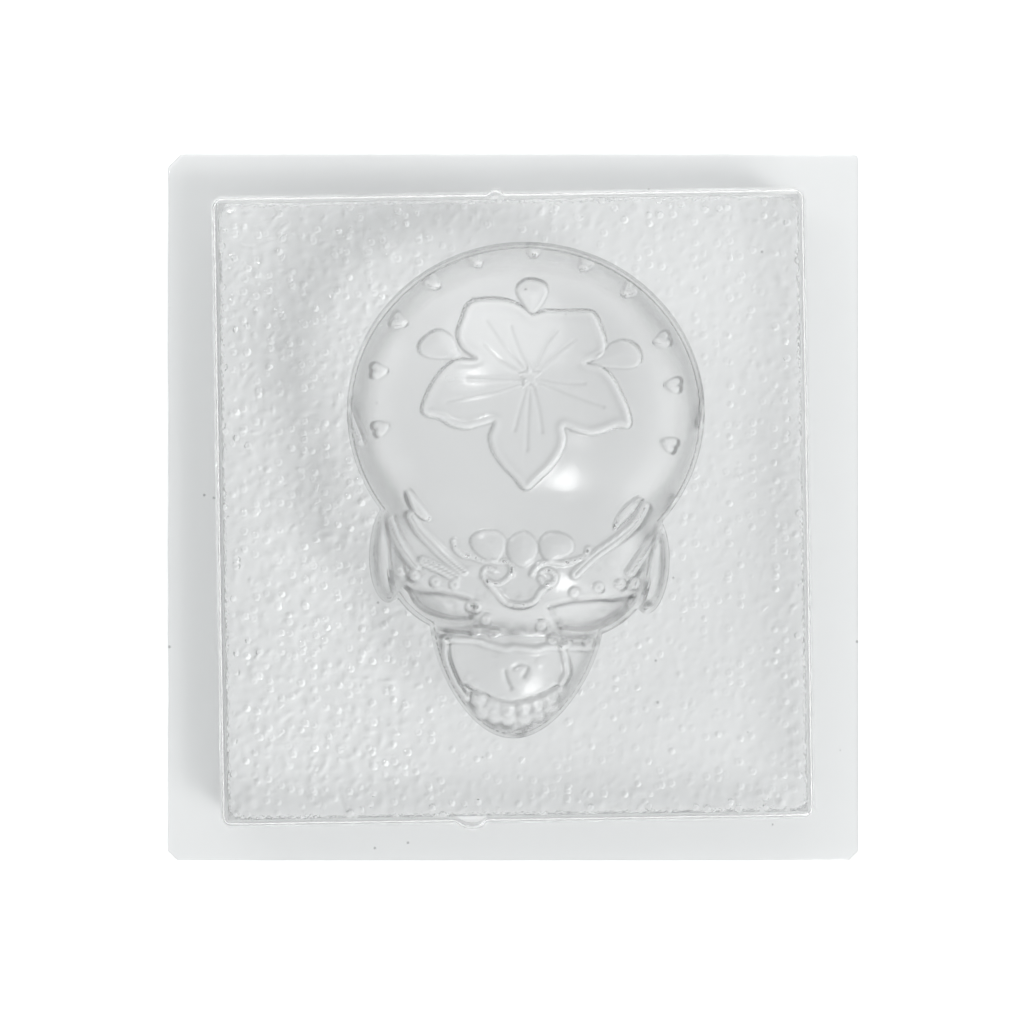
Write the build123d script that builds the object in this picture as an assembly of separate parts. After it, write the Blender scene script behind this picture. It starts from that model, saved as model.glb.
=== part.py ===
from build123d import *
import os
from math import copysign, cos, pi, radians, sin, sqrt, tan

# Sheet and flange, in millimetres. The origin is the middle of the flange's underside,
# +Y points to the skull's crown and +Z to the raised side.
sheet = 1.0
flange_width = 150.0
flange_length = 153.3
large_snip = 2.8
small_snip = 2.1
corner_round = 1.2

# Block that the flange surrounds. It was formed a little askew in the trimmed sheet.
block_width = 124.2
block_length = 131.8
block_rise = 20.0
block_turn = 0.9
wall_draft = 3.0
plan_corner = 2.6
shoulder = 2.0

# Round swellings that forming left high on the block's rear and front walls.
rear_swell_side = -2.6
rear_swell_radius = 2.0
rear_swell_proud = 1.1
front_swell_side = -9.5
front_swell_radius = 3.2
front_swell_proud = 1.5

# Skull: the middle of its dome, and how far the skull leans.
skull_x = 2.6
skull_y = 19.6
skull_turn = -2.5
dome_half_width = 36.8
dome_half_length = 34.8
dome_height = 40.0
dome_square = 2.0
dome_full = 2.1

# Face, in front of the dome's middle.
mask_front = 24.5
mask_half_width = 28.2
mask_half_length = 23.0
mask_height = 35.5
mask_square = 2.7
mask_full = 2.4
eye_side = 14.9
eye_front = 38.9
eye_half_width = 7.2
eye_half_length = 4.6
eye_depth = 6.5
nose_front = 41.8
nose_half_width = 2.0
nose_half_length = 3.6
nose_depth = 3.4
nose_splay = 14.0
curl_side = 26.6
curl_front = 30.0
curl_half_width = 4.4
curl_half_length = 10.5
curl_height = 15.0
curl_square = 2.0
curl_full = 2.0

# Jaws and teeth.
jaw_front = 45.0
jaw_half_width = 17.8
jaw_half_length = 22.4
jaw_height = 18.0
jaw_square = 2.0
jaw_full = 2.2
jaw_taper = 0.2
mouth_front = 59.4
mouth_bow = 2.6
mouth_groove = 0.9
tooth_count = 6
tooth_pitch = 3.3
tooth_radius = 1.75
tooth_proud = 0.7

# Ornament in relief.
relief = 1.2
flower_shift = 4.4
petal_count = 5
petal_reach = 20.2
petal_notch = 11.1
petal_swell_reach = 16.6
petal_swell_turn = 20.8
drop_distance = 17.6
drop_radius = 2.75
drop_tail = 1.6
scroll_front = 25.6
scroll_lobe = 3.3
scroll_pitch = 6.4
band_outer_side = 22.2
band_outer_front = 20.3
band_middle_side = 17.4
band_middle_front = 26.4
band_inner_side = 10.5
band_inner_front = 32.2
band_width = 3.0
band_proud = 0.7
stud_count = 11
stud_inset = 4.6
stud_spread = 222.0
stud_radius = 1.3
stud_tail = 0.9
stud_proud = 0.8

# Rings that a dome is lofted through, by their angle up its profile.
ring_points = 12
ring_angles = (0, 20, 42, 64, 80)

floor_under = block_rise - sheet
reach_up = block_rise + dome_height + 10
skull_place = Pos(skull_x, skull_y, 0) * Rot(0, 0, skull_turn)


def swelling(facing, side, radius, proud, inset):
    """Ball that stands proud of one wall and just reaches the block's top. Facing is 1 to the rear."""
    middle = block_length / 2 + proud - radius
    return Pos(side, facing * middle, block_rise - radius) * Sphere(radius - inset)


def block_form(inset):
    """Drafted block with a rounded shoulder and its two swellings, smaller all round by the inset."""
    top = block_rise - inset
    flare = 2 * top * tan(radians(wall_draft))
    foot = RectangleRounded(
        block_width - 2 * inset + flare, block_length - 2 * inset + flare, plan_corner + flare / 2
    )
    solid = extrude(foot, amount=top, taper=wall_draft)
    rim = solid.edges().group_by(Axis.Z)[-1]
    solid = fillet(rim, shoulder - inset)
    solid += swelling(1, rear_swell_side, rear_swell_radius, rear_swell_proud, inset)
    solid += swelling(-1, front_swell_side, front_swell_radius, front_swell_proud, inset)
    return Rot(0, 0, block_turn) * solid


def floor_region():
    """Flat of the block's top, inside the shoulder."""
    flat = RectangleRounded(block_width - 2 * shoulder, block_length - 2 * shoulder, plan_corner / 2)
    return Rot(0, 0, block_turn) * Pos(0, 0, floor_under) * extrude(flat, amount=sheet)


def ring(half_width, half_length, square, taper, reach, level):
    """Closed superellipse at one level of a form, narrower to the front where it tapers."""
    points = []
    for index in range(ring_points):
        turn = 2 * pi * index / ring_points
        back = copysign(abs(sin(turn)) ** (2 / square), sin(turn)) * reach
        side = copysign(abs(cos(turn)) ** (2 / square), cos(turn)) * reach * (1 + taper * back)
        points.append((half_width * side, half_length * back, level))
    return Wire([Spline(*points, periodic=True)])


def bluff(half_width, half_length, height, square, full, side, front, taper=0.0):
    """Smooth dome on the block's top. It stands upright at its foot, which reaches into the block."""
    rings = [ring(half_width, half_length, square, taper, 1, -2 * sheet)]
    for angle in ring_angles:
        reach = cos(radians(angle)) ** (2 / full)
        level = height * sin(radians(angle)) ** (2 / full)
        rings.append(ring(half_width, half_length, square, taper, reach, level))
    return Pos(side, -front, block_rise) * Solid.make_loft(rings + [Vertex(0, 0, height)])


def rise_at(half_width, half_length, height, square, full, side, back, taper=0.0):
    """Height of such a dome over a place measured from its middle."""
    back_share = abs(back) / half_length
    side_share = abs(side) / (half_width * (1 + taper * back / half_length))
    reach = (side_share ** square + back_share ** square) ** (1 / square)
    return block_rise + height * (1 - reach ** full) ** (1 / full)


def dome(grow=0.0):
    return bluff(
        dome_half_width + grow, dome_half_length + grow, dome_height + grow, dome_square, dome_full, 0, 0
    )


def socket(half_width, half_length, depth, side, front, turn):
    """Hollow sunk into the face, as deep as its half height and centred on the face's own surface."""
    rise = rise_at(
        mask_half_width, mask_half_length, mask_height, mask_square, mask_full, side, mask_front - front
    )
    return Pos(side, -front, rise) * Rot(0, 0, turn) * scale(Sphere(1), by=(half_width, half_length, depth))


def face(grow=0.0):
    return bluff(
        mask_half_width + grow, mask_half_length + grow, mask_height + grow, mask_square, mask_full,
        0, mask_front,
    )


def mask(grow=0.0):
    """Upper face with its eye sockets and nose, which shrink as the face grows."""
    sunk = face(grow)
    for side in (-1, 1):
        sunk -= socket(
            eye_half_width - grow, eye_half_length - grow, eye_depth - grow, side * eye_side, eye_front, 0
        )
        sunk -= socket(
            nose_half_width - grow, nose_half_length - grow, nose_depth - grow,
            side * nose_half_width, nose_front, side * nose_splay,
        )
    return sunk


def curl(side, grow=0.0):
    return bluff(
        curl_half_width + grow, curl_half_length + grow, curl_height + grow, curl_square, curl_full,
        side * curl_side, curl_front,
    )


def jaw(grow=0.0):
    return bluff(
        jaw_half_width + grow, jaw_half_length + grow, jaw_height + grow, jaw_square, jaw_full, 0, jaw_front,
        jaw_taper,
    )


def upright(sketch):
    """Tall prism that marks out a zone of the skull."""
    return Pos(0, 0, floor_under) * extrude(sketch, amount=reach_up)


def mouth_zone():
    """Everything in front of the bowed mouth line."""
    wide = 2 * jaw_half_width
    deep = 2 * jaw_half_length
    corners = mouth_bow - mouth_front
    with BuildSketch() as zone:
        with BuildLine():
            line = ThreePointArc((-jaw_half_width, corners), (0, -mouth_front), (jaw_half_width, corners))
            Polyline(
                line @ 1, (wide, corners), (wide, corners - deep), (-wide, corners - deep), (-wide, corners),
                line @ 0,
            )
        make_face()
    return upright(zone.sketch)


def teeth(row):
    """One row of tooth swellings beside the mouth line: row is 1 above it and -1 below."""
    found = Part()
    for index in range(tooth_count):
        side = (index - (tooth_count - 1) / 2) * tooth_pitch
        bow = mouth_bow * (side / jaw_half_width) ** 2
        front = mouth_front - bow - row * (mouth_groove + tooth_radius)
        rise = rise_at(
            jaw_half_width, jaw_half_length, jaw_height, jaw_square, jaw_full,
            side, jaw_front - front, jaw_taper,
        )
        found += Pos(side, -front, rise - tooth_radius + tooth_proud) * Sphere(tooth_radius)
    return found


def polar(radius, angle):
    return (radius * cos(radians(angle)), radius * sin(radians(angle)))


def flower_sketch():
    """Pointed petals that meet in notches, the first one towards the chin."""
    step = 360 / petal_count
    with BuildSketch() as flower:
        with BuildLine():
            for index in range(petal_count):
                tip_angle = index * step - 90
                tip = polar(petal_reach, tip_angle)
                for side in (-1, 1):
                    notch = polar(petal_notch, tip_angle + side * step / 2)
                    swell = polar(petal_swell_reach, tip_angle + side * petal_swell_turn)
                    ThreePointArc(notch, swell, tip)
        make_face()
    return Pos(0, flower_shift) * flower.sketch


def drop_sketch(radius, tail):
    """Round drop whose point is towards -Y, one tail's length past its circle."""
    point = radius + tail
    tangent_side = radius * sqrt(1 - (radius / point) ** 2)
    tangent_back = radius ** 2 / point
    with BuildSketch() as drop:
        Circle(radius)
        with BuildLine():
            Polyline((-tangent_side, -tangent_back), (0, -point), (tangent_side, -tangent_back), close=True)
        make_face()
    return drop.sketch


def petal_drop_sketches():
    """Three drops that point into the flower's upper notches."""
    drops = Sketch()
    for index in (-1, 0, 1):
        around = Pos(0, flower_shift) * Rot(0, 0, index * 360 / petal_count) * Pos(0, drop_distance)
        drops += around * drop_sketch(drop_radius, drop_tail)
    return drops


def stud_sketches():
    """Small drops along the crown's edge that point to the dome's middle."""
    found = Sketch()
    for index in range(stud_count):
        angle = 90 + stud_spread * (index / (stud_count - 1) - 0.5)
        side = (dome_half_width - stud_inset) * cos(radians(angle))
        back = (dome_half_length - stud_inset) * sin(radians(angle))
        found += Pos(side, back) * Rot(0, 0, angle - 90) * drop_sketch(stud_radius, stud_tail)
    return found


def scroll_sketch(inset=0.0):
    lobes = Sketch()
    for index in (-1, 0, 1):
        lobes += Pos(index * scroll_pitch, -scroll_front) * Circle(scroll_lobe - inset)
    return lobes


def band_sketches():
    """Band over each brow, which sweeps inwards from the temple."""
    found = Sketch()
    for side in (-1, 1):
        middle = ThreePointArc(
            (side * band_outer_side, -band_outer_front),
            (side * band_middle_side, -band_middle_front),
            (side * band_inner_side, -band_inner_front),
        )
        found += SlotArc(middle, band_width)
    return found


def raised(form, outline, room_outline):
    """Sheet lifted by the relief inside an outline, with an upstand of the sheet's thickness round it."""
    lifted = form(relief) & upright(outline)
    room = form(relief - sheet) & upright(room_outline)
    return lifted - room


def build():
    """Every node by name, in the part's own frame."""
    above_floor = Pos(0, 0, floor_under) * Box(
        2 * flange_width, 2 * flange_length, reach_up, align=(Align.CENTER, Align.CENTER, Align.MIN)
    )
    outer_block = block_form(0)
    floor = floor_region()

    plate = Rectangle(flange_width, flange_length)
    corners = plate.vertices()
    upper_left = corners.sort_by(Axis.X)[:2].sort_by(Axis.Y)[-1]
    upper_right = corners.sort_by(Axis.X)[-2:].sort_by(Axis.Y)[-1]
    lower = corners.sort_by(Axis.Y)[:2]
    plate = chamfer(lower, small_snip)
    plate = chamfer(plate.vertices().sort_by_distance(upper_left)[0], large_snip)
    plate = fillet(plate.vertices().sort_by_distance(upper_right)[0], corner_round)
    flange = extrude(plate, amount=sheet) - outer_block

    tray_wall = outer_block - block_form(sheet) - floor

    domed, masked, jawed = dome(), mask(), jaw() + teeth(1) + teeth(-1)
    dome_hollow, mask_hollow, jaw_hollow = dome(-sheet), mask(-sheet), jaw(-sheet)
    curls = {"left": curl(-1), "right": curl(1)}
    curl_hollows = {"left": curl(-1, -sheet), "right": curl(1, -sheet)}
    both_curl_hollows = curl_hollows["left"] + curl_hollows["right"]

    flower_zone, drop_zones, scroll_zone = flower_sketch(), petal_drop_sketches(), scroll_sketch()
    ornament = upright(flower_zone) + upright(drop_zones)
    mouth = mouth_zone()
    nodes = {
        "cranium": (domed & above_floor) - dome_hollow - mask_hollow - both_curl_hollows - ornament,
        "flower": raised(dome, flower_zone, offset(flower_zone, -sheet)) - dome_hollow,
        "petal_drops": raised(dome, drop_zones, offset(drop_zones, -sheet)) - dome_hollow,
        "crown_studs": (dome(stud_proud) & upright(stud_sketches())) - domed,
        "brow_scroll": raised(face, scroll_zone, scroll_sketch(sheet)) - mask_hollow - domed,
        "brow_bands": (face(band_proud) & upright(band_sketches())) - domed - face(),
        "eye_mask": (masked & above_floor) - domed - mask_hollow - jaw_hollow - both_curl_hollows
        - upright(scroll_zone),
        "upper_jaw": (jawed & above_floor) - face() - jaw_hollow - mouth,
        "lower_jaw": (jawed & above_floor & mouth) - jaw_hollow,
    }
    for name, solid in curls.items():
        nodes[f"cheek_curl_{name}"] = (solid & above_floor) - domed - face() - curl_hollows[name]
    placed = {name: skull_place * shape for name, shape in nodes.items()}
    placed["flange"] = flange
    placed["tray_wall"] = tray_wall
    for form in (domed, face(), jaw(), curls["left"], curls["right"]):
        floor -= skull_place * form
    placed["tray_floor"] = floor
    return placed


os.makedirs("parts", exist_ok=True)
for node, shape in build().items():
    export_step(shape, f"parts/{node}.step")
    print(node, round(shape.volume, 1), len(shape.solids()), shape.is_valid)
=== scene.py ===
import math
import random
import bmesh
import bpy
import numpy as np
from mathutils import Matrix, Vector


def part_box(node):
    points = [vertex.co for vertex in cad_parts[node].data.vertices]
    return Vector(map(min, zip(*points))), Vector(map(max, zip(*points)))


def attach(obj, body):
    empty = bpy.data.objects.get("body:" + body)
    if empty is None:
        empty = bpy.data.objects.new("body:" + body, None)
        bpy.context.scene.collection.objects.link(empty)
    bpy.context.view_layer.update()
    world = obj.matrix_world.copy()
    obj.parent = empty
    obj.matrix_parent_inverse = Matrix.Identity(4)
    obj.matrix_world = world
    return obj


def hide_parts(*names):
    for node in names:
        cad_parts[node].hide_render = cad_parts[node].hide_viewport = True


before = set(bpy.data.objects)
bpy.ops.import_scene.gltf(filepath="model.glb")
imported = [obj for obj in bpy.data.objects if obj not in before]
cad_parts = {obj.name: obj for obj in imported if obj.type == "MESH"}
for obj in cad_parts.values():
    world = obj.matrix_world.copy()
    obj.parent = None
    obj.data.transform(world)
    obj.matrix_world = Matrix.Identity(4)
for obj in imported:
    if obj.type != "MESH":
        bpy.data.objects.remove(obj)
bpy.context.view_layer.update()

mm = 0.001
sharpAngle = 55         # degrees; flatter edges are shaded smooth

# camera straight above the mould, as far up as the photo's perspective asks
camera = {
    "height": 420 * mm,
    "photoSide": 1024,
    "centrePixel": (512.0, 512.0),
    "originPixel": (513.0, 507.5),      # middle of the flange in the photo
    "flangePixels": 690.0,              # the flange's width in the photo
    "sensor": 36.0,
    "clipStart": 10 * mm,
}
flangeLow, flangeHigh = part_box("flange")
metresPerPixel = (flangeHigh[0] - flangeLow[0]) / camera["flangePixels"]
cameraX = (camera["centrePixel"][0] - camera["originPixel"][0]) * metresPerPixel
cameraY = (camera["originPixel"][1] - camera["centrePixel"][1]) * metresPerPixel


def toPhoto(x, y, z):               # where a place on the mould shows in the photo, in pixels
    scale = metresPerPixel * (camera["height"] - z) / camera["height"]
    px = camera["centrePixel"][0] + (x - cameraX) / scale
    py = camera["centrePixel"][1] - (y - cameraY) / scale
    return px, py


# the sheet's main sizes, in millimetres, shared by all its stretches
sheet = {
    "thick": 1.0,
    "flangeHalf": (75.0, 76.65),
    "blockHalf": (62.1, 65.9),
    "blockRise": 20.0,
    "blockTurn": 0.9,
    "draft": 3.0,
    "planCorner": 2.6,
    "shoulder": 2.0,
}

# the skull's forms: middle, half width, half length, height, squareness in plan, fullness in profile, taper
skull = {
    "middle": (2.6, 19.6),
    "turn": -2.5,
    "forms": {
        "dome": (0.0, 0.0, 36.8, 34.8, 40.0, 2.0, 2.1, 0.0),
        "face": (0.0, -24.5, 28.2, 23.0, 35.5, 2.7, 2.4, 0.0),
        "jaw": (0.0, -45.0, 17.8, 22.4, 18.0, 2.0, 2.2, 0.2),
        "leftCurl": (-26.6, -30.0, 4.4, 10.5, 15.0, 2.0, 2.0, 0.0),
        "rightCurl": (26.6, -30.0, 4.4, 10.5, 15.0, 2.0, 2.0, 0.0),
    },
    "blend": 1.1,               # how softly the forms run into each other
    "narrowest": 0.2,           # least share of its width that a tapering form keeps
    "outsideSlope": 90,         # how fast a form's height drops outside its foot
    "cell": 0.34,
    "margin": 1,
    "slopeStep": 0.05,
    "seam": 0.02,               # the gap to the block's top
    "snapRounds": 5,
    "footFade": 1.2,            # relief fades out this near the foot
    "flankGain": 2.2,           # most that relief grows on steep flanks
    # the relief's painted light and shade: reach, gain, share of painted shade in creases, painted highlight
    # on crests
    "toneReach": 1.3,           # pixels over which the relief's slope is read
    "paintedShadeGain": 6.0,
    "creaseShadeShare": 0.5,
    "crestHighlightGain": 8.0,
}
window = {"inPhoto": (0.82, 0.57)}      # where the window lies, seen from above


def turned(x, y, degrees, middle=(0.0, 0.0)):
    a = math.radians(degrees)
    return middle[0] + x * math.cos(a) - y * math.sin(a), middle[1] + x * math.sin(a) + y * math.cos(a)


def unturned(x, y, degrees, middle=(0.0, 0.0)):
    a = math.radians(degrees)
    dx, dy = x - middle[0], y - middle[1]
    return dx * math.cos(a) + dy * math.sin(a), dy * math.cos(a) - dx * math.sin(a)


def formReach(form, u, v, grow=0.0):            # 1 on the form's foot, less inside it
    side, back, halfWidth, halfLength, height, square, full, taper = form
    du, dv = u - side, v - back
    width = (halfWidth + grow) * np.maximum(1 + taper * dv / halfLength, skull["narrowest"])
    return ((np.abs(du) / width) ** square + (np.abs(dv) / (halfLength + grow)) ** square) ** (1 / square)


def formHeight(form, u, v, grow=0.0):
    height, full = form[4] + grow, form[6]
    reach = formReach(form, u, v, grow)
    inside = height * (1 - np.minimum(reach, 1) ** full) ** (1 / full)
    return np.where(reach < 1, inside, (1 - reach) * skull["outsideSlope"])


def softMax(heights, blend):
    top = np.maximum.reduce(heights)
    total = sum(np.exp(np.maximum((h - top) / blend, -50)) for h in heights)
    return top + blend * np.log(total)


def baseHeight(u, v, grow=0.0):                 # the skull's outer face over the block's top
    return softMax([formHeight(form, u, v, grow) for form in skull["forms"].values()], skull["blend"])


def footDistance(u, v):                         # about zero on the skull's outline, less inside it
    return np.minimum.reduce([
        (formReach(form, u, v) - 1) * min(form[2], form[3]) for form in skull["forms"].values()
    ])


def snapToFoot(u, v, level):
    step = 0.01
    for _ in range(skull["snapRounds"]):
        here = footDistance(u, v) - level
        du = (footDistance(u + step, v) - footDistance(u - step, v)) / (2 * step)
        dv = (footDistance(u, v + step) - footDistance(u, v - step)) / (2 * step)
        steep = du * du + dv * dv + 1e-9
        u, v = u - here * du / steep, v - here * dv / steep
    return u, v


# relief, drawn over the photo: places and widths in pixels, heights in millimetres
def smoothLine(points, closed=False, steps=5):
    pts = np.array(points, float)
    count = len(pts)
    found = []
    for i in range(count if closed else count - 1):
        a, b = pts[i - 1] if closed or i else pts[0], pts[i]
        c = pts[(i + 1) % count]
        d = pts[(i + 2) % count] if closed or i + 2 < count else pts[-1]
        for s in np.arange(steps) / steps:
            found.append(0.5 * (2 * b + (c - a) * s + (2 * a - 5 * b + 4 * c - d) * s * s
                                + (3 * b - a - 3 * c + d) * s ** 3))
    if not closed:
        found.append(pts[-1])
    return np.array(found)


def lineDistance(px, py, line, closed=False):
    ends = np.roll(line, -1, axis=0) if closed else line[1:]
    starts = line if closed else line[:-1]
    best = np.full(px.shape, 1e9)
    for (ax, ay), (bx, by) in zip(starts, ends):
        dx, dy = bx - ax, by - ay
        share = np.clip(((px - ax) * dx + (py - ay) * dy) / (dx * dx + dy * dy + 1e-9), 0, 1)
        best = np.minimum(best, (px - ax - share * dx) ** 2 + (py - ay - share * dy) ** 2)
    return np.sqrt(best)


def insideLine(px, py, line):
    inside = np.zeros(px.shape, bool)
    for (ax, ay), (bx, by) in zip(line, np.roll(line, -1, axis=0)):
        if ay != by:
            crosses = ((ay > py) != (by > py)) & (px < (bx - ax) * (py - ay) / (by - ay) + ax)
            inside ^= crosses
    return inside


def near(px, py, line, margin):
    low, high = line.min(axis=0) - margin, line.max(axis=0) + margin
    return (px > low[0]) & (px < high[0]) & (py > low[1]) & (py < high[1])


def ridge(relief, px, py, points, width, height, closed=False):
    line = smoothLine(points, closed)
    here = near(px, py, line, width * 3)
    distance = lineDistance(px[here], py[here], line, closed)
    relief[here] += height * np.exp(-(distance / width) ** 2)


def plateau(relief, px, py, points, height, edge, rim=0.0, dome=0.0, smooth=True):
    line = smoothLine(points, True) if smooth else np.array(points, float)
    here = near(px, py, line, edge * 3)
    distance = lineDistance(px[here], py[here], line, True)
    inward = np.where(insideLine(px[here], py[here], line), distance, -distance)
    share = np.clip(inward / edge + 0.5, 0, 1)
    raised = height * share * share * (3 - 2 * share)
    if rim:
        raised += rim * np.exp(-((inward - edge) / edge) ** 2)
    if dome:
        raised += dome * (1 - np.exp(-np.maximum(inward, 0) / (2.5 * edge)))
    relief[here] += raised


def bead(relief, px, py, centre, radius, height, hollow=0.0):
    here = (np.abs(px - centre[0]) < radius * 2) & (np.abs(py - centre[1]) < radius * 2)
    distance = np.hypot(px[here] - centre[0], py[here] - centre[1])
    relief[here] += height * np.exp(-(distance / radius) ** 4)
    if hollow:
        relief[here] -= hollow * np.exp(-(distance / (radius * 0.5)) ** 2)


flower = {
    "outline": [
        (532, 315), (521, 307), (509, 302), (495, 300), (478, 301), (468, 306), (463, 318),
        (458, 334), (462, 347), (476, 359), (458, 360), (445, 368), (434, 382), (426, 398),
        (423, 410), (428, 415), (440, 418), (452, 425), (466, 428), (480, 425), (494, 422),
        (490, 436), (493, 450), (502, 464), (514, 477), (526, 489), (540, 478), (553, 465),
        (562, 450), (565, 438), (564, 427), (576, 431), (590, 434), (604, 431), (617, 426),
        (629, 426), (628, 412), (621, 395), (611, 377), (600, 367), (586, 363), (599, 357),
        (605, 347), (602, 332), (593, 314), (578, 312), (558, 312), (543, 312),
    ],
    "rise": 0.75,
    "edge": 3.6,
    "rim": 0.22,
    "veins": [
        [(524, 370), (506, 349), (487, 322)],
        [(527, 367), (517, 345), (511, 327)],
        [(521, 373), (504, 364), (484, 345)],
        [(536, 367), (546, 345), (556, 332)],
        [(539, 370), (560, 352), (576, 340)],
        [(520, 380), (496, 380), (468, 380)],
        [(521, 384), (496, 392), (448, 402)],
        [(540, 380), (562, 384), (584, 384)],
        [(541, 384), (572, 396), (603, 407)],
        [(526, 390), (520, 410), (515, 430)],
        [(530, 391), (528, 420), (527, 450)],
        [(534, 390), (539, 410), (542, 432)],
    ],
    "veinWidth": 2.0,
    "veinHeight": -0.16,
    "star": [
        (530, 366), (533, 373), (541, 374), (535, 379), (538, 388), (530, 383), (523, 388),
        (525, 379), (519, 374), (527, 373),
    ],
    "starRise": 0.3,
    "starEdge": 3.0,
    "drops": [
        [
            (532, 313), (522, 302), (517, 290), (524, 282), (533, 281), (543, 284), (547, 291),
            (542, 303),
        ],
        [
            (459, 355), (448, 358), (430, 357), (421, 352), (421, 343), (431, 334), (441, 331),
            (452, 338),
        ],
        [
            (592, 364), (603, 352), (612, 344), (624, 341), (635, 346), (640, 356), (637, 365),
            (622, 368),
        ],
    ],
    "dropRise": 0.5,
    "dropDome": 0.35,
}

crownHearts = {
    "places": [
        (534, 249), (476, 259), (586, 263), (433, 282), (629, 290), (399, 321), (662, 340),
        (379, 371), (673, 385), (381, 428), (669, 444),
    ],
    "towards": (530, 377),
    "half": 8.0,
    "outline": [
        (1.0, 0.0), (0.1, 0.75), (-0.55, 0.85), (-0.75, 0.35), (-0.5, 0.0), (-0.75, -0.35),
        (-0.55, -0.85), (0.1, -0.75),
    ],
    "rise": 0.45,
    "edge": 3.0,
    "dome": 0.2,
}

brow = {
    "lobes": [
        [
            (471, 539), (480, 532), (494, 531), (503, 536), (505, 547), (497, 561), (484, 558),
            (474, 549),
        ],
        [
            (507, 546), (511, 538), (523, 532), (532, 537), (537, 547), (533, 560), (522, 566),
            (511, 560),
        ],
        [
            (540, 541), (548, 533), (562, 534), (572, 541), (572, 551), (560, 558), (548, 560),
            (541, 552),
        ],
    ],
    "lobeRise": 0.45,
    "lobeDome": 0.55,
    "lobeEdge": 3.4,
    "lines": [
        [
            (454, 541), (456, 549), (463, 555), (472, 557), (484, 561), (497, 562), (508, 562),
            (512, 570), (508, 578), (498, 584), (488, 581), (483, 574), (487, 568), (495, 571),
        ],
        [(588, 549), (586, 556), (577, 560), (563, 563), (548, 562), (538, 566), (532, 574)],
        [
            (488, 583), (496, 591), (504, 600), (514, 604), (526, 604), (535, 600), (541, 591),
            (548, 586),
        ],
        [(541, 572), (548, 570), (555, 575), (553, 583), (545, 584), (540, 578)],
    ],
    "lineWidth": 2.3,
    "lineRise": 0.55,
}

temple = {
    "bands": [
        [(412, 516), (420, 530), (434, 545), (449, 560), (464, 572)],
        [(391, 520), (397, 536), (408, 555), (417, 566)],
        [(424, 561), (440, 568), (457, 577)],
        [(644, 506), (634, 524), (616, 540), (594, 556), (575, 574)],
        [(676, 500), (664, 524), (648, 546), (630, 573)],
        [(361, 340), (350, 364), (346, 388), (350, 412), (360, 440)],
        [(698, 346), (705, 372), (707, 398), (702, 424)],
    ],
    "bandWidth": 3.8,
    "bandRise": 0.95,
    "grooveWidth": 1.5,
    "groove": -0.55,
    "leaves": [
        [(408, 490), (420, 503), (431, 519), (420, 517), (412, 506)],
        [(640, 498), (632, 512), (614, 529), (618, 516), (628, 504)],
    ],
    "leafRise": 0.7,
    "leafEdge": 3.4,
}

eyes = {
    "sockets": [
        [
            (406, 585), (424, 588), (446, 590), (472, 597), (478, 608), (471, 620), (456, 622),
            (436, 618), (420, 610), (410, 599),
        ],
        [
            (546, 606), (566, 599), (592, 596), (614, 595), (634, 593), (632, 606), (618, 621),
            (602, 629), (582, 633), (561, 631), (551, 620),
        ],
    ],
    "depth": -0.8,
    "edge": 13.0,
    "rim": 0.3,
    "rimWidth": 3.0,
    "beads": [
        (400, 571), (415, 575), (436, 581), (455, 584), (486, 619), (476, 631), (494, 633),
        (598, 587), (620, 584), (634, 583), (634, 604), (626, 624), (604, 638), (588, 641),
        (566, 642), (552, 639), (541, 625), (574, 592),
    ],
    "beadRadius": 4.6,
    "beadRise": 0.55,
    "beadHollow": 0.25,
    "ring": [(468, 606), (472, 602), (478, 603), (479, 608), (474, 610)],
    "ringWidth": 2.0,
    "ringRise": 0.5,
}

mouth = {
    "gumLine": [
        (466, 686), (473, 691), (484, 694), (494, 699), (511, 702), (527, 699), (544, 693),
        (558, 685),
    ],
    "gumWidth": 2.4,
    "gumRise": -0.6,
    "upperTeeth": [(479, 699), (493, 705), (507, 708), (523, 707), (537, 703), (550, 696)],
    "lowerTeeth": [(482, 712), (495, 716), (508, 718), (524, 718), (538, 713), (551, 706)],
    "toothRadius": 7.0,
    "toothRise": 0.5,
    "cheekLines": [
        [(446, 641), (446, 655), (450, 669), (458, 686), (466, 697)],
        [(562, 647), (565, 660), (566, 673), (560, 684)],
    ],
    "cheekWidth": 3.0,
    "cheekRise": 0.6,
    "noseLines": [
        [(505, 672), (507, 680), (511, 688)],
        [(514, 668), (520, 665), (527, 668), (524, 676)],
    ],
    "noseWidth": 2.4,
    "noseRise": -0.5,
    "chinDimple": (519, 733),
    "dimpleRadius": 6.0,
    "dimpleRise": -0.5,
    "maskEdge": [
        (389, 606), (395, 618), (405, 629), (422, 635), (448, 639), (473, 640), (488, 645),
        (504, 649), (515, 648), (535, 650), (548, 647), (573, 647), (606, 646), (629, 637),
        (641, 624), (648, 607),
    ],
    "maskWidth": 3.4,
    "maskRise": 0.7,
}


# uneven skin where the sheet was drawn over the face's fine carving
skin = {
    "seed": 3,
    "count": 170,
    "across": (400, 655),
    "down": (560, 735),
    "radius": (3.0, 6.5),
    "height": 0.13,
}


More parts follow.
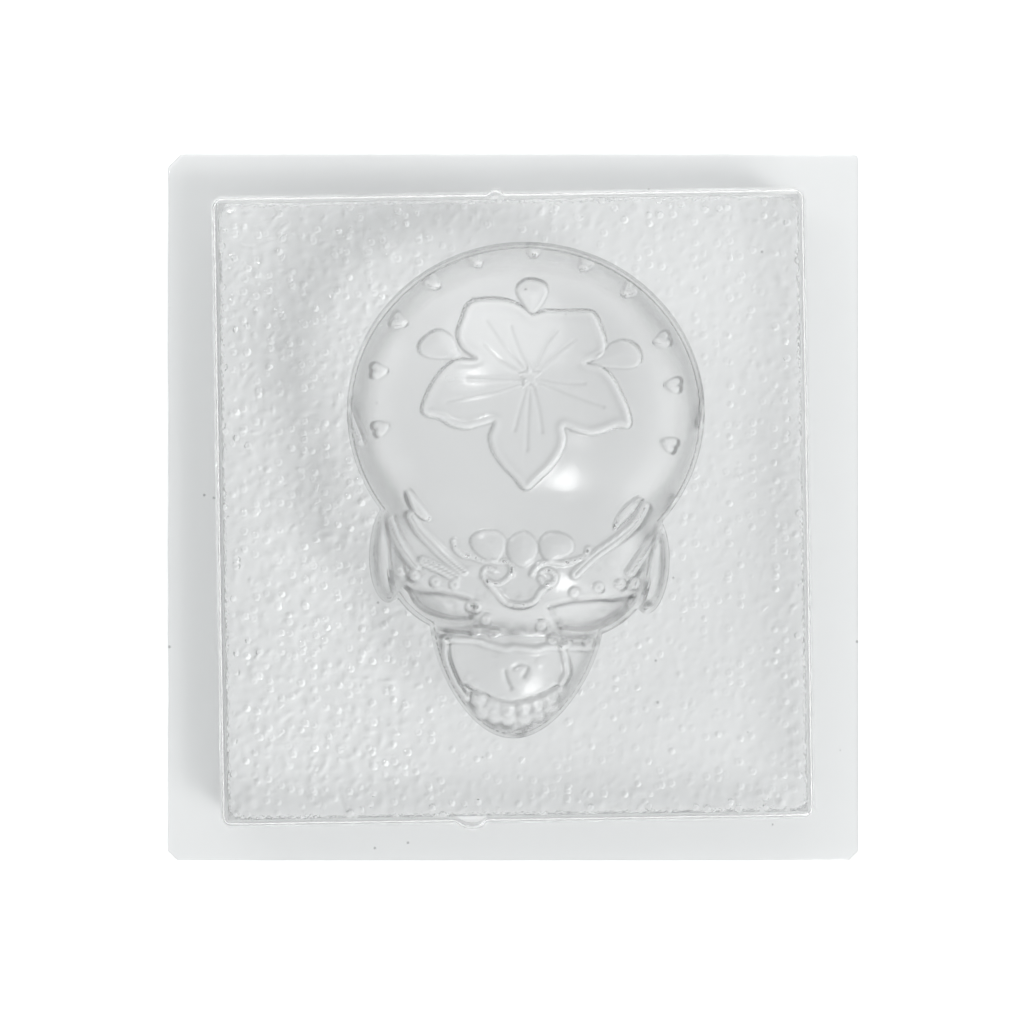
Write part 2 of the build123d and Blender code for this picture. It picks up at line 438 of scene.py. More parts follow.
def skullRelief(px, py):
    relief = np.zeros(px.shape)
    plateau(relief, px, py, flower["outline"], flower["rise"], flower["edge"], flower["rim"])
    for vein in flower["veins"]:
        ridge(relief, px, py, vein, flower["veinWidth"], flower["veinHeight"])
    plateau(relief, px, py, flower["star"], flower["starRise"], flower["starEdge"], smooth=False)
    for drop in flower["drops"]:
        plateau(relief, px, py, drop, flower["dropRise"], flower["edge"], dome=flower["dropDome"])
    for x, y in crownHearts["places"]:
        a = math.atan2(crownHearts["towards"][1] - y, crownHearts["towards"][0] - x)
        half = crownHearts["half"]
        heart = [turned(half * s, half * t, math.degrees(a), (x, y)) for s, t in crownHearts["outline"]]
        plateau(relief, px, py, heart, crownHearts["rise"], crownHearts["edge"], dome=crownHearts["dome"])
    for lobe in brow["lobes"]:
        plateau(relief, px, py, lobe, brow["lobeRise"], brow["lobeEdge"], dome=brow["lobeDome"])
    for line in brow["lines"]:
        ridge(relief, px, py, line, brow["lineWidth"], brow["lineRise"])
    for band in temple["bands"]:
        ridge(relief, px, py, band, temple["bandWidth"], temple["bandRise"])
        ridge(relief, px, py, band, temple["grooveWidth"], temple["groove"])
    for leaf in temple["leaves"]:
        plateau(relief, px, py, leaf, temple["leafRise"], temple["leafEdge"])
    for socket in eyes["sockets"]:
        plateau(relief, px, py, socket, eyes["depth"], eyes["edge"])
        ridge(relief, px, py, socket, eyes["rimWidth"], eyes["rim"], closed=True)
    for place in eyes["beads"]:
        bead(relief, px, py, place, eyes["beadRadius"], eyes["beadRise"], eyes["beadHollow"])
    ridge(relief, px, py, eyes["ring"], eyes["ringWidth"], eyes["ringRise"], closed=True)
    ridge(relief, px, py, mouth["gumLine"], mouth["gumWidth"], mouth["gumRise"])
    for place in mouth["upperTeeth"] + mouth["lowerTeeth"]:
        bead(relief, px, py, place, mouth["toothRadius"], mouth["toothRise"])
    for line in mouth["cheekLines"]:
        ridge(relief, px, py, line, mouth["cheekWidth"], mouth["cheekRise"])
    for line in mouth["noseLines"]:
        ridge(relief, px, py, line, mouth["noseWidth"], mouth["noseRise"])
    ridge(relief, px, py, mouth["maskEdge"], mouth["maskWidth"], mouth["maskRise"])
    bead(relief, px, py, mouth["chinDimple"], mouth["dimpleRadius"], mouth["dimpleRise"])
    rng = random.Random(skin["seed"])
    for _ in range(skin["count"]):
        place = rng.uniform(*skin["across"]), rng.uniform(*skin["down"])
        bead(relief, px, py, place, rng.uniform(*skin["radius"]), rng.uniform(-1, 1) * skin["height"])
    return relief


# hammered texture of the block's top: pebbles of random size, a third of them sunk
hammer = {
    "seed": 7,
    "cell": 0.52,
    "pitch": 2.0,
    "radius": (0.5, 1.15),
    "longer": (0.7, 1.5),
    "height": (0.05, 0.24),
    "sunk": -0.7,               # depth of a sunk pebble against a raised one
    "reach": 2.2,               # radii within which a pebble counts
    "steepness": 1.2,
    "underShare": 0.8,          # how much of the texture shows on the underside
    "quietEdge": 2.4,
    "calm": 0.36,
    "boldSide": -14.0,          # bold from here to the left, within the next value
    "boldWithin": 18.0,
    "border": 10.0,
    "borderShare": 0.9,
    # step and gain of the pebbles' painted light and shade
    "toneStep": 0.1,
    "paintedShadeGain": 1.6,
}


def pebbleShare(x, y):              # bold towards the left side and along the border, calm elsewhere
    bold = np.clip((hammer["boldSide"] - x) / hammer["boldWithin"], 0, 1)
    edge = np.minimum(sheet["blockHalf"][0] - np.abs(x), sheet["blockHalf"][1] - np.abs(y))
    border = np.clip(1 - edge / hammer["border"], 0, 1) * hammer["borderShare"]
    quiet = np.clip((edge - sheet["shoulder"]) / hammer["quietEdge"], 0, 1)
    return np.clip(hammer["calm"] + bold + border, 0, 1) * quiet


def hammeredRelief(x, y):
    rng = random.Random(hammer["seed"])
    relief = np.zeros(x.shape)
    halfX, halfY = sheet["blockHalf"]
    pitch = hammer["pitch"]
    across, along = int(2 * halfX / pitch), int(2 * halfY / pitch)
    order = np.argsort(x, kind="stable")
    xs, ys = x[order], y[order]
    inOrder = np.zeros(x.shape)
    for i in range(across):
        for j in range(along):
            cx = -halfX + (i + rng.random()) * pitch
            cy = -halfY + (j + rng.random()) * pitch
            radius = rng.uniform(*hammer["radius"])
            longer = rng.uniform(*hammer["longer"])
            turn = rng.uniform(0, math.pi)
            height = rng.uniform(*hammer["height"]) * rng.choice((1, 1, hammer["sunk"]))
            reach = radius * hammer["reach"] * max(1, longer)
            low, high = np.searchsorted(xs, (cx - reach, cx + reach))
            dx, dy = xs[low:high] - cx, ys[low:high] - cy
            du = (dx * math.cos(turn) + dy * math.sin(turn)) / longer
            dv = (dy * math.cos(turn) - dx * math.sin(turn)) * longer
            inOrder[low:high] += height * np.exp(-(du * du + dv * dv) / radius ** 2 * hammer["steepness"])
    relief[order] = inOrder
    return relief * pebbleShare(x, y)


def gridPlan(bm, halfX, halfY, middle, cell):   # flat grid round a middle, in millimetres
    across, along = int(2 * halfX / cell) + 1, int(2 * halfY / cell) + 1
    bmesh.ops.create_grid(bm, x_segments=across, y_segments=along, size=0.5)
    bmesh.ops.scale(bm, vec=(2 * halfX, 2 * halfY, 1), verts=bm.verts)
    bmesh.ops.translate(bm, vec=(middle[0], middle[1], 0), verts=bm.verts)


def planOf(verts):
    flat = np.array([(v.co.x, v.co.y) for v in verts])
    return flat[:, 0], flat[:, 1]


def cutFaces(bm, dropped):                      # dropped: one flag per vertex
    bm.verts.index_update()
    gone = [f for f in bm.faces if all(dropped[v.index] for v in f.verts)]
    bmesh.ops.delete(bm, geom=gone, context="FACES")


def sheetFrom(bm, over, under):                 # turns the flat plan into a closed sheet
    below = list(bm.verts)
    made = bmesh.ops.extrude_face_region(bm, geom=bm.faces[:], use_keep_orig=True)
    above = [g for g in made["geom"] if isinstance(g, bmesh.types.BMVert)]
    for verts, height in ((below, under), (above, over)):
        x, y = planOf(verts)
        for v, z in zip(verts, height(x, y)):
            v.co.z = z
    bmesh.ops.recalc_face_normals(bm, faces=bm.faces)


def finishPiece(bm, name, nodes, material, marksAndShading):
    bmesh.ops.scale(bm, vec=(mm, mm, mm), verts=bm.verts)
    mesh = bpy.data.meshes.new(name)
    bm.to_mesh(mesh)
    bm.free()
    mesh.polygons.foreach_set("use_smooth", [True] * len(mesh.polygons))
    mesh.set_sharp_from_angle(angle=math.radians(sharpAngle))
    for label, values in marksAndShading.items():
        mesh.attributes.new(label, "FLOAT", "POINT").data.foreach_set("value", np.clip(values, -1, 1))
    piece = bpy.data.objects.new(name, mesh)
    bpy.context.scene.collection.objects.link(piece)
    mesh.materials.append(material)
    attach(piece, "root")
    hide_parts(*nodes)
    print(name, "made,", sum(len(p.vertices) - 2 for p in mesh.polygons), "triangles")


# node helpers: a socket is linked, and anything else is set on the input itself
def plug(tree, node, inputs):
    for label, value in inputs.items():
        if isinstance(value, bpy.types.NodeSocket):
            tree.links.new(value, node.inputs[label])
        else:
            node.inputs[label].default_value = value


def addNode(tree, kind, inputs, **settings):
    node = tree.nodes.new("ShaderNode" + kind)
    for label, value in settings.items():
        setattr(node, label, value)
    plug(tree, node, inputs)
    return node


def maths(tree, operation, first, second):
    return addNode(tree, "Math", {0: first, 1: second}, operation=operation).outputs["Value"]


def ranged(tree, value, fromEnds=(0.0, 1.0), toEnds=(0.0, 1.0), **settings):
    inputs = {"Value": value, "From Min": fromEnds[0], "From Max": fromEnds[1],
              "To Min": toEnds[0], "To Max": toEnds[1]}
    return addNode(tree, "MapRange", inputs, **settings).outputs["Result"]


def mixed(tree, factor, first, second, **settings):
    inputs = {"Factor": factor, "A": first, "B": second}
    return addNode(tree, "Mix", inputs, data_type="RGBA", **settings).outputs["Result"]


def newGroup(name, inputs, outputs):
    group = bpy.data.node_groups.new(name, "ShaderNodeTree")
    for label, kind, value in inputs:
        socket = group.interface.new_socket(name=label, in_out="INPUT", socket_type=kind)
        socket.default_value = value
    for label, kind in outputs:
        group.interface.new_socket(name=label, in_out="OUTPUT", socket_type=kind)
    return group, group.nodes.new("NodeGroupInput").outputs, group.nodes.new("NodeGroupOutput")


# how forming and handling mark the clear sheet (haze, ripples, dust specks, pebbles), and the painted light
# laid over them: glints on the pebbles and the pieces' painted shading
sheetMarksAndGlints = {
    "clouds": {"Scale": 38, "Detail": 3},
    "cloudEnds": (0.35, 0.7),
    "ripples": {"Scale": 260, "Detail": 4, "Roughness": 0.7},
    "specks": 90,
    "speckEnds": (0.02, 0.035),
    "speckTone": 0.45,
    "pebbles": 420,
    "pebbleEnds": (0.38, 0.2),
    "pebbleKept": (0.35, 0.9),
    "litSide": (0.3, -0.2),     # towards the window, in millimetres
    "leastShade": -0.3,         # more glint than shade
}


def makeSheetMarksAndLight():
    group, start, end = newGroup(
        "sheetMarksAndLight",
        [("Haze Low", "NodeSocketFloat", 0.03), ("Haze High", "NodeSocketFloat", 0.1),
         ("Ripple", "NodeSocketFloat", 0.5), ("Tint", "NodeSocketColor", (0.95, 0.955, 0.955, 1)),
         ("Painted Shading", "NodeSocketFloat", 0.0), ("Deepest Shade", "NodeSocketFloat", 0.5),
         ("Pebble Share", "NodeSocketFloat", 0.0), ("Pebble Height", "NodeSocketFloat", 0.0),
         ("Pebble Glint", "NodeSocketFloat", 0.0)],
        [("Color", "NodeSocketColor"), ("Roughness", "NodeSocketFloat"), ("Height", "NodeSocketFloat")],
    )
    place = addNode(group, "TexCoord", {}).outputs["Object"]
    clouds = addNode(group, "TexNoise", {"Vector": place, **sheetMarksAndGlints["clouds"]}).outputs["Fac"]
    haze = ranged(group, clouds, sheetMarksAndGlints["cloudEnds"], (start["Haze Low"], start["Haze High"]))
    ripples = addNode(group, "TexNoise", {"Vector": place, **sheetMarksAndGlints["ripples"]}).outputs["Fac"]
    ripple = maths(group, "MULTIPLY", ripples, start["Ripple"])
    specks = addNode(group, "TexVoronoi", {"Vector": place, "Scale": sheetMarksAndGlints["specks"]}).outputs["Distance"]
    dust = ranged(group, specks, sheetMarksAndGlints["speckEnds"], (sheetMarksAndGlints["speckTone"], 1.0))
    # small round pebbles, which also bump the surface, and the same ones a little way towards the window:
    # their difference is a painted glint on each pebble's lit side and painted shade on its far side
    pebbles = []
    for offset in ((0, 0, 0), (sheetMarksAndGlints["litSide"][0] * mm, sheetMarksAndGlints["litSide"][1] * mm, 0)):
        moved = addNode(group, "VectorMath", {0: place, 1: offset}).outputs["Vector"]
        cell = addNode(group, "TexVoronoi", {"Vector": moved, "Scale": sheetMarksAndGlints["pebbles"]})
        blob = ranged(group, cell.outputs["Distance"], sheetMarksAndGlints["pebbleEnds"], interpolation_type="SMOOTHSTEP")
        chance = addNode(group, "SeparateColor", {"Color": cell.outputs["Color"]}).outputs["Red"]
        pebble = maths(group, "MULTIPLY", blob, ranged(group, chance, sheetMarksAndGlints["pebbleKept"]))
        pebbles.append(maths(group, "MULTIPLY", pebble, start["Pebble Share"]))
    # painted glint and painted shade of the pebbles
    glint = maths(group, "MULTIPLY", maths(group, "SUBTRACT", *pebbles), start["Pebble Glint"])
    # painted light and shade: the pebbles' glints and the piece's painted shading, turned into a colour level
    tone = maths(group, "ADD", maths(group, "MAXIMUM", glint, sheetMarksAndGlints["leastShade"]), start["Painted Shading"])
    level = ranged(group, tone, (-1.0, 1.0), (start["Deepest Shade"], 1.0))
    pebbleHeight = maths(group, "MULTIPLY", pebbles[0], start["Pebble Height"])
    # dust specks, darkened and lightened by the painted light and shade
    dustAndPaintedLight = maths(group, "MULTIPLY", dust, level)
    plug(group, end, {
        "Color": mixed(group, 1.0, start["Tint"], dustAndPaintedLight, blend_type="MULTIPLY"),
        "Roughness": haze,
        "Height": maths(group, "ADD", ripple, pebbleHeight),
    })
    return group


sheetMarksAndLight = makeSheetMarksAndLight()


def makeClear(name, values):
    material = bpy.data.materials.new(name)
    material.use_nodes = True
    tree = material.node_tree
    shader = tree.nodes["Principled BSDF"]
    marksAndShading = addNode(tree, "Group", {
        "Haze Low": values["haze"][0],
        "Haze High": values["haze"][1],
        "Ripple": values["ripple"],
        "Tint": (*values["tint"], 1),
        "Deepest Shade": values["deepestShade"],
        "Pebble Height": values["pebbleHeight"],
        "Pebble Glint": values["pebbleGlint"],
        "Pebble Share": addNode(tree, "Attribute", {}, attribute_name="pebbleShare").outputs["Fac"],
        "Painted Shading": addNode(tree, "Attribute", {}, attribute_name="paintedShading").outputs["Fac"],
    }, node_tree=sheetMarksAndLight).outputs
    bump = addNode(tree, "Bump", {
        "Distance": values["bump"] * mm,
        "Strength": 1.0,
        "Height": marksAndShading["Height"],
    })
    plug(tree, shader, {
        "Transmission Weight": 1.0,
        "IOR": values["ior"],
        "Base Color": marksAndShading["Color"],
        "Roughness": marksAndShading["Roughness"],
        "Normal": bump.outputs["Normal"],
    })
    # light passes the sheet unbent on its way to the table, and less of it where it grazes
    grazing = addNode(tree, "LayerWeight", {"Blend": values["grazing"]}).outputs["Facing"]
    passed = mixed(tree, grazing, (*values["passed"], 1), (*values["passedEdge"], 1))
    path = addNode(tree, "LightPath", {}).outputs
    onTheWay = maths(tree, "MAXIMUM", path["Is Shadow Ray"], path["Is Diffuse Ray"])
    # a wall seen on its edge lets the view through too, where glass would trap it inside the sheet
    seen = mixed(tree, values["edgeTone"], (*values["seenEdge"], 1), marksAndShading["Color"])
    film = addNode(tree, "BsdfTransparent", {"Color": mixed(tree, onTheWay, seen, passed)})
    profile = addNode(tree, "LayerWeight", {"Blend": values["profile"]}).outputs["Facing"]
    onEdge = ranged(tree, profile, (values["edgeFrom"], values["edgeFull"]))
    through = maths(tree, "MAXIMUM", onTheWay, onEdge)
    both = addNode(tree, "MixShader", {0: through, 1: shader.outputs["BSDF"], 2: film.outputs["BSDF"]})
    plug(tree, tree.nodes["Material Output"], {"Surface": both.outputs["Shader"]})
    return material


clearValues = {
    "ior": 1.53,
    "haze": (0.05, 0.12),           # roughness where the sheet is clearest and cloudiest
    "ripple": 0.5,
    "bump": 0.05,                   # in millimetres
    "pebbleHeight": 0.0,
    "pebbleGlint": 0.0,
    "tint": (0.965, 0.968, 0.968),
    "deepestShade": 0.75,                # the painted shade at its darkest, in grooves and on sides turned from the window
    "seenEdge": (1.0, 1.0, 1.0),
    "edgeTone": 0.0,                # how far an edge takes the sheet's colour, painted light and shade included
    "profile": 0.5,
    "edgeFrom": 0.3,
    "edgeFull": 0.7,
    "grazing": 0.3,
    "passed": (0.945, 0.948, 0.948),        # light left after the sheet, face on and grazing
    "passedEdge": (0.58, 0.585, 0.585),
}
smoothClear = makeClear("smoothClear", clearValues)
hammeredClear = makeClear("hammeredClear", {
    **clearValues,
    "haze": (0.06, 0.12),
    "bump": 0.2,
    "pebbleHeight": 0.8,
    "pebbleGlint": 3.0,
    "tint": (0.985, 0.988, 0.988),
    "deepestShade": 0.5,
    "edgeTone": 0.5,
    "edgeFrom": 0.45,
    "edgeFull": 1.0,
})
skullClear = makeClear("skullClear", {
    **clearValues,
    "haze": (0.15, 0.28),
    "bump": 0.045,
    # darker than the rest of the same sheet: painted shade over the whole skull
    "tint": (0.905, 0.908, 0.908),
    "deepestShade": 0.55,
    "edgeTone": 0.5,
    "edgeFrom": 0.45,
    "edgeFull": 1.0,
    "passed": (0.88, 0.883, 0.883),
    "passedEdge": (0.5, 0.505, 0.505),
})
print("materials made")


# skull: one stretch of sheet, carved by height
def makeSkull():
    bm = bmesh.new()
    dome, jaw = skull["forms"]["dome"], skull["forms"]["jaw"]
    front, rear = jaw[1] - jaw[3], dome[1] + dome[3]
    margin = skull["margin"]
    gridPlan(bm, dome[2] + margin, (rear - front) / 2 + margin, (0, (rear + front) / 2), skull["cell"])
    u, v = planOf(bm.verts)
    cutFaces(bm, footDistance(u, v) > -skull["seam"])
    verts = list(bm.verts)
    u, v = planOf(verts)
    outside = footDistance(u, v) > -skull["seam"]
    u[outside], v[outside] = snapToFoot(u[outside], v[outside], -skull["seam"])
    for vert, newU, newV in zip(verts, u, v):
        vert.co.x, vert.co.y = newU, newV

    thick, rise = sheet["thick"], sheet["blockRise"]

    def onPhoto(u, v):
        x, y = turned(u, v, skull["turn"], skull["middle"])
        return toPhoto(x * mm, y * mm, (rise + baseHeight(u, v)) * mm)

    def relief(u, v):           # as thick on the steep flanks as on the crown
        step = skull["slopeStep"]
        du = (baseHeight(u + step, v) - baseHeight(u - step, v)) / (2 * step)
        dv = (baseHeight(u, v + step) - baseHeight(u, v - step)) / (2 * step)
        return skullRelief(*onPhoto(u, v)) * np.minimum(np.sqrt(1 + du * du + dv * dv), skull["flankGain"])

    def paintedReliefShading(u, v):         # painted light and shade: brighter on crests and where the relief faces the window, painted shade in grooves and creases
        px, py = onPhoto(u, v)
        reach = skull["toneReach"]
        right, left = skullRelief(px + reach, py), skullRelief(px - reach, py)
        below, above = skullRelief(px, py + reach), skullRelief(px, py - reach)
        rightward, downward = (right - left) / (2 * reach), (below - above) / (2 * reach)
        facing = -(rightward * window["inPhoto"][0] + downward * window["inPhoto"][1])
        crest = skullRelief(px, py) - (right + left + below + above) / 4
        creased = facing - skull["creaseShadeShare"] * np.hypot(rightward, downward)
        return skull["paintedShadeGain"] * creased + skull["crestHighlightGain"] * crest

    def over(u, v):
        foot = np.clip(-footDistance(u, v) / skull["footFade"], 0, 1)
        return rise + np.where(foot > 0.001, np.maximum(baseHeight(u, v), 0) + relief(u, v) * foot, 0)

    def under(u, v):
        foot = np.clip(-footDistance(u, v) / skull["footFade"] - 1, 0, 1)
        hollow = baseHeight(u, v, -thick)
        return rise + np.where(hollow > -thick, hollow + relief(u, v) * foot, -thick)

    sheetFrom(bm, over, under)
    # the painted light and shade of the relief, one value per corner
    paintedTones = paintedReliefShading(*planOf(bm.verts))
    for vert in bm.verts:
        vert.co.x, vert.co.y = turned(vert.co.x, vert.co.y, skull["turn"], skull["middle"])
    finishPiece(
        bm, "skullShell",
        ("cranium", "flower", "petal_drops", "crown_studs", "brow_scroll", "brow_bands", "eye_mask",
         "cheek_curl_left", "cheek_curl_right", "upper_jaw", "lower_jaw"),
        skullClear, {"paintedShading": paintedTones},
    )


makeSkull()


# block's top: hammered all over, open where the skull rises
def makeTop():
    bm = bmesh.new()
    halfX = sheet["blockHalf"][0] - sheet["shoulder"] - skull["seam"]
    halfY = sheet["blockHalf"][1] - sheet["shoulder"] - skull["seam"]
    gridPlan(bm, halfX, halfY, (0, 0), hammer["cell"])

    def toSkull(x, y):
        return unturned(*turned(x, y, sheet["blockTurn"]), skull["turn"], skull["middle"])

    x, y = planOf(bm.verts)
    cutFaces(bm, footDistance(*toSkull(x, y)) < skull["seam"])
    verts = list(bm.verts)
    x, y = planOf(verts)
    u, v = toSkull(x, y)
    covered = footDistance(u, v) < skull["seam"]
    u[covered], v[covered] = snapToFoot(u[covered], v[covered], skull["seam"])
    x[covered], y[covered] = unturned(
        *turned(u[covered], v[covered], skull["turn"], skull["middle"]), sheet["blockTurn"])
    for vert, newX, newY in zip(verts, x, y):
        vert.co.x, vert.co.y = newX, newY

    def pebbles(x, y):          # none at the skull's foot, all of them 1 mm away from it
        return hammeredRelief(x, y) * np.clip(footDistance(*toSkull(x, y)), 0, 1)

    sheetFrom(
        bm,
        lambda x, y: sheet["blockRise"] + pebbles(x, y),
        lambda x, y: sheet["blockRise"] - sheet["thick"] + hammer["underShare"] * pebbles(x, y),
    )
    # painted light and shade on the pebbles: lighter where they slope towards the window, darker where they
    # slope away
    x, y = planOf(bm.verts)
    here = pebbles(x, y)
    step = hammer["toneStep"]
    slopeX, slopeY = (pebbles(x + step, y) - here) / step, (pebbles(x, y + step) - here) / step
    paintedTones = hammer["paintedShadeGain"] * (slopeY * window["inPhoto"][1] - slopeX * window["inPhoto"][0])
    for vert in bm.verts:
        vert.co.x, vert.co.y = turned(vert.co.x, vert.co.y, sheet["blockTurn"])
    finishPiece(bm, "hammeredTop", ("tray_floor",), hammeredClear,
                {"paintedShading": paintedTones, "pebbleShare": pebbleShare(x, y)})


makeTop()

# flange, wall and shoulder: one ring of sheet, drawn from edge to edge and back underneath
rim = {
    "sideSteps": 110,
    "cornerSteps": 10,
    "corners": {"lowerLeft": ("snip", 2.1), "lowerRight": ("snip", 2.1), "upperRight": ("round", 1.2),
                "upperLeft": ("snip", 2.8)},
    "edge": [(0.25, 0.0), (0.0, 0.3), (0.0, 0.75), (0.2, 1.0), (0.6, 1.0)],    # inset, share of the thickness
    "footRound": 1.0,
    "footTurn": 84,                     # degrees, and the draft makes up the rest
    "footGaps": (0.4, 0.5),             # from the bend to the flange, above and below
    "leastCorner": 0.3,
    "arcSteps": 5,
    "wallSteps": 6,
    "wallFrom": (4, 3),                 # the walls' lowest heights, outside and inside
    "wallGap": 0.4,                     # from the walls to the shoulder's bend
    "waver": 0.16,                      # bow of the trimmed left edge
    "wavers": [(9, 0, 0.6), (23, 1, 0.4)],      # how often, where it starts, share
    "waverWithin": 3,
    # painted shade on the shoulder's bend, darkest where it turns down into the wall
    "shoulderShade": -1.0,
    # swellings on the wall: along the edge, which edge, half width, how proud
    "nubs": [(-2.6, 1, 1.3, 0.9), (-9.5, -1, 2.7, 1.4)],
    "nubWithin": 4,
    "nubFade": (7, 5),                  # how far down from the top they end, over which height
}


def cornerLoop(halfX, halfY, cuts):             # anticlockwise from the lower left corner
    corners = [(-1, -1), (1, -1), (1, 1), (-1, 1)]
    points = []
    for i, (sx, sy) in enumerate(corners):
        kind, size = cuts[i]
        cx, cy = sx * (halfX - size), sy * (halfY - size)
        first = math.pi * (1 + i / 2)
        for k in range(rim["cornerSteps"] + 1):
            share = k / rim["cornerSteps"]
            a = first + share * math.pi / 2
            dx, dy = math.cos(a), math.sin(a)
            if kind == "snip":
                start = (math.cos(first), math.sin(first))
                stop = (math.cos(first + math.pi / 2), math.sin(first + math.pi / 2))
                dx = start[0] + (stop[0] - start[0]) * share
                dy = start[1] + (stop[1] - start[1]) * share
            points.append((cx + size * dx, cy + size * dy))
        nextSize = cuts[(i + 1) % 4][1]
        tx, ty = corners[(i + 1) % 4]
        a = first + math.pi / 2
        endX = tx * (halfX - nextSize) + nextSize * math.cos(a)
        endY = ty * (halfY - nextSize) + nextSize * math.sin(a)
        startX, startY = points[-1]
        for k in range(1, rim["sideSteps"]):
            share = k / rim["sideSteps"]
            points.append((startX + (endX - startX) * share, startY + (endY - startY) * share))
    return np.array(points)


def rimStations():                              # plan loops and heights, round the sheet's section
    thick, rise = sheet["thick"], sheet["blockRise"]
    halfX, halfY = sheet["blockHalf"]
    slope = math.tan(math.radians(sheet["draft"]))
    names = ("lowerLeft", "lowerRight", "upperRight", "upperLeft")
    cuts = [rim["corners"][name] for name in names]

    def edgeLoop(inset):
        loop = cornerLoop(sheet["flangeHalf"][0] - inset, sheet["flangeHalf"][1] - inset, cuts)
        along = loop[:, 1] / sheet["flangeHalf"][1]
        left = loop[:, 0] < -sheet["flangeHalf"][0] + rim["waverWithin"]
        swing = 1
        for often, start, share in rim["wavers"]:
            swing = swing + np.sin(along[left] * often + start) * share
        loop[left, 0] += rim["waver"] * swing / 2
        return loop

    def wallLoop(inset, z):
        flare = (rise - z) * slope
        size = max(sheet["planCorner"] + flare - inset, rim["leastCorner"])
        loop = cornerLoop(halfX + flare - inset, halfY + flare - inset, [("round", size)] * 4)
        fade = np.clip((z - rise + rim["nubFade"][0]) / rim["nubFade"][1], 0, 1)
        for place, edge, half, proud in rim["nubs"]:
            onEdge = loop[:, 1] * edge > halfY - rim["nubWithin"]
            bulge = np.clip(1 - ((loop[:, 0] - place) / half) ** 2, 0, 1) ** 0.5
            loop[onEdge, 1] += edge * (bulge * proud * fade)[onEdge]
        x, y = turned(loop[:, 0], loop[:, 1], sheet["blockTurn"])
        return np.stack([x, y], axis=1)

    def arc(low, high):
        return [low + (high - low) * k / rim["arcSteps"] for k in range(rim["arcSteps"] + 1)]

    stations = []

    def add(loop, z, tone=0.0):
        stations.append((loop, z, tone))

    for inset, share in rim["edge"]:
        add(edgeLoop(inset), share * thick)
    footRound = rim["footRound"]
    add(wallLoop(-footRound - rim["footGaps"][0], thick), thick)
    for a in arc(0, rim["footTurn"]):
        r = math.radians(a)
        add(wallLoop(-footRound * (1 - math.sin(r)), thick), thick + footRound * (1 - math.cos(r)))
    shoulder = sheet["shoulder"]
    wallTop = rise - shoulder - rim["wallGap"]
    for z in np.linspace(rim["wallFrom"][0], wallTop, rim["wallSteps"]):
        add(wallLoop(0, z), z)
    # the shoulder's bend, carrying the painted shade
    for a in arc(0, 90):
        r = math.radians(a)
        z = rise - shoulder + shoulder * math.sin(r)
        add(wallLoop(shoulder * (1 - math.cos(r)), rise), z, rim["shoulderShade"] * math.cos(r))
    inner = shoulder - thick
    for a in arc(90, 0):
        r = math.radians(a)
        z = rise - shoulder + inner * math.sin(r)
        add(wallLoop(thick + inner * (1 - math.cos(r)), rise), z, rim["shoulderShade"] * math.cos(r))
    for z in np.linspace(wallTop, rim["wallFrom"][1], rim["wallSteps"]):
        add(wallLoop(thick, z), z)
    reach = footRound + thick
    for a in arc(rim["footTurn"], 0):
        r = math.radians(a)
        add(wallLoop(thick - reach * (1 - math.sin(r)), thick), reach * (1 - math.cos(r)))
    add(wallLoop(-footRound - rim["footGaps"][1], thick), 0.0)
    add(edgeLoop(rim["edge"][-1][0]), 0.0)
    return stations


def makeRim():
    stations = rimStations()
    bm = bmesh.new()
    ring = bmesh.ops.create_circle(bm, segments=len(stations[0][0]), radius=sheet["flangeHalf"][0])["verts"]
    edges = list(bm.edges)
    firstEdges = edges
    for number, (loop, z, tone) in enumerate(stations):
        if number:
            grown = bmesh.ops.extrude_edge_only(bm, edges=edges)["geom"]
            new = {g for g in grown if isinstance(g, bmesh.types.BMVert)}
            edges = [g for g in grown if isinstance(g, bmesh.types.BMEdge) and new.issuperset(g.verts)]
            ring = [next(edge.other_vert(vert) for edge in vert.link_edges if edge.other_vert(vert) in new)
                    for vert in ring]
        for vert, (x, y) in zip(ring, loop):
            vert.co = Vector((x, y, z))
    bmesh.ops.bridge_loops(bm, edges=edges + firstEdges)
    bmesh.ops.recalc_face_normals(bm, faces=bm.faces)
    # painted shade, one value per ring of the section
    paintedTones = np.repeat([tone for loop, z, tone in stations], len(ring))
    finishPiece(bm, "flangeAndWall", ("flange", "tray_wall"), smoothClear, {"paintedShading": paintedTones})


makeRim()

# table under the mould
table = {"half": 1.2, "drop": 0.25 * mm, "colour": (0.86, 0.87, 0.87), "glow": 0.2}


def makeTable():
    bm = bmesh.new()
    bmesh.ops.create_grid(bm, x_segments=1, y_segments=1, size=table["half"])
    bmesh.ops.translate(bm, vec=(0, 0, -table["drop"]), verts=bm.verts)
    mesh = bpy.data.meshes.new("table")
    bm.to_mesh(mesh)
    bm.free()
    top = bpy.data.objects.new("table", mesh)
    bpy.context.scene.collection.objects.link(top)
    material = bpy.data.materials.new("tableWhite")
    material.use_nodes = True
    tree = material.node_tree
    tree.nodes.remove(tree.nodes["Principled BSDF"])
    matt = addNode(tree, "BsdfDiffuse", {"Color": (*table["colour"], 1)})
    path = addNode(tree, "LightPath", {}).outputs
    seen = maths(tree, "MAXIMUM", path["Is Camera Ray"], path["Is Glossy Ray"])
    either = maths(tree, "MAXIMUM", seen, path["Is Transmission Ray"])
    glow = addNode(tree, "Emission", {"Strength": maths(tree, "MULTIPLY", either, table["glow"])})
    both = addNode(tree, "AddShader", {0: matt.outputs["BSDF"], 1: glow.outputs["Emission"]})
    plug(tree, tree.nodes["Material Output"], {"Surface": both.outputs["Shader"]})
    mesh.materials.append(material)


makeTable()

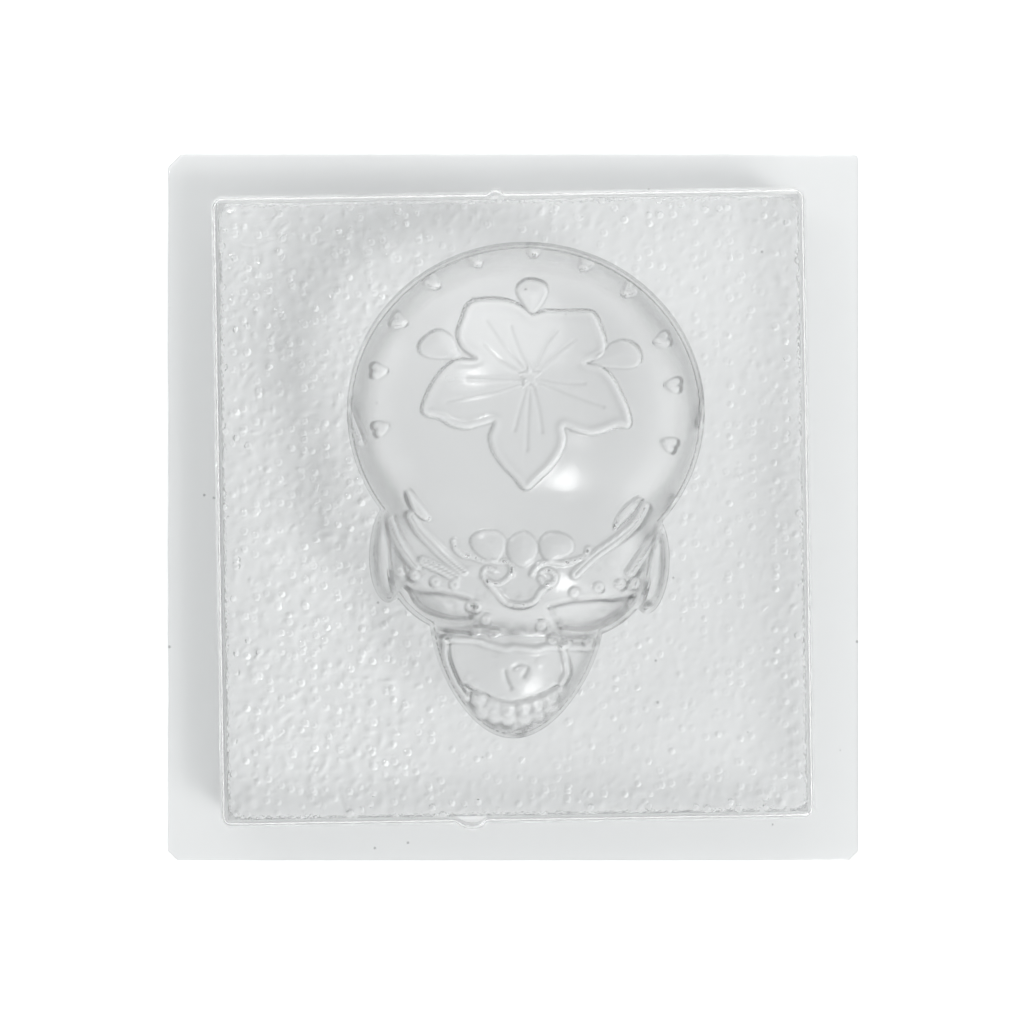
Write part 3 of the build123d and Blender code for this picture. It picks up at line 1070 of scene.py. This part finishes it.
# soft light from the lower right, as in the photo, and an even white room
light = {
    "lamps": [      # place, size, power, mirrored in the plastic
        ((1.1, -0.76, 1.85), 0.65, 36.0, False),
        ((1.1, -0.76, 1.85), 0.14, 0.9, True),
        ((-0.1, 0.5, 0.4), 0.7, 2.2, True),
        ((0.35, -0.74, 0.57), 0.32, 2.2, True),
        ((-0.42, 0.3, 0.75), 0.09, 0.5, True),
    ],
    "roomZenith": 0.15,
    "roomHorizon": 0.62,
    "roomFront": 0.5,
    "roomBack": 1.5,
    "roomColour": (0.97, 0.985, 1.0),
}


def aimed(place, target):
    return (Vector(target) - Vector(place)).to_track_quat("-Z", "Y").to_euler()


for number, (place, size, power, mirrored) in enumerate(light["lamps"]):
    lampData = bpy.data.lights.new(f"lamp{number}", "AREA")
    lampData.size = size
    lampData.energy = power
    lamp = bpy.data.objects.new(f"lamp{number}", lampData)
    lamp.location = place
    lamp.rotation_euler = aimed(place, (0, 0, 0))
    lamp.visible_glossy = mirrored
    lamp.visible_transmission = mirrored
    bpy.context.scene.collection.objects.link(lamp)


def makeRoom():
    room = bpy.data.worlds.new("room")
    room.use_nodes = True
    tree = room.node_tree
    direction = addNode(tree, "TexCoord", {}).outputs["Generated"]
    axes = addNode(tree, "SeparateXYZ", {"Vector": direction}).outputs
    upward = ranged(tree, axes["Z"], toEnds=(light["roomHorizon"], light["roomZenith"]))
    depth = ranged(tree, axes["Y"], (-1.0, 1.0), (light["roomFront"], light["roomBack"]))
    # seen directly or through the plastic, the room is white
    path = addNode(tree, "LightPath", {}).outputs
    seen = maths(tree, "MAXIMUM", path["Is Camera Ray"], path["Is Transmission Ray"])
    strength = maths(tree, "MAXIMUM", maths(tree, "MULTIPLY", upward, depth), seen)
    plug(tree, tree.nodes["Background"], {"Color": (*light["roomColour"], 1), "Strength": strength})
    bpy.context.scene.world = room


makeRoom()

photoCamera = bpy.data.cameras.new("photoCamera")
photoCamera.sensor_width = camera["sensor"]
photoCamera.lens = camera["sensor"] * camera["height"] / (camera["photoSide"] * metresPerPixel)
photoCamera.clip_start = camera["clipStart"]
cameraObject = bpy.data.objects.new("photoCamera", photoCamera)
cameraObject.location = (cameraX, cameraY, camera["height"])
bpy.context.scene.collection.objects.link(cameraObject)
bpy.context.scene.camera = cameraObject
bpy.context.scene.view_settings.view_transform = "Standard"
print("stage, light and camera set")
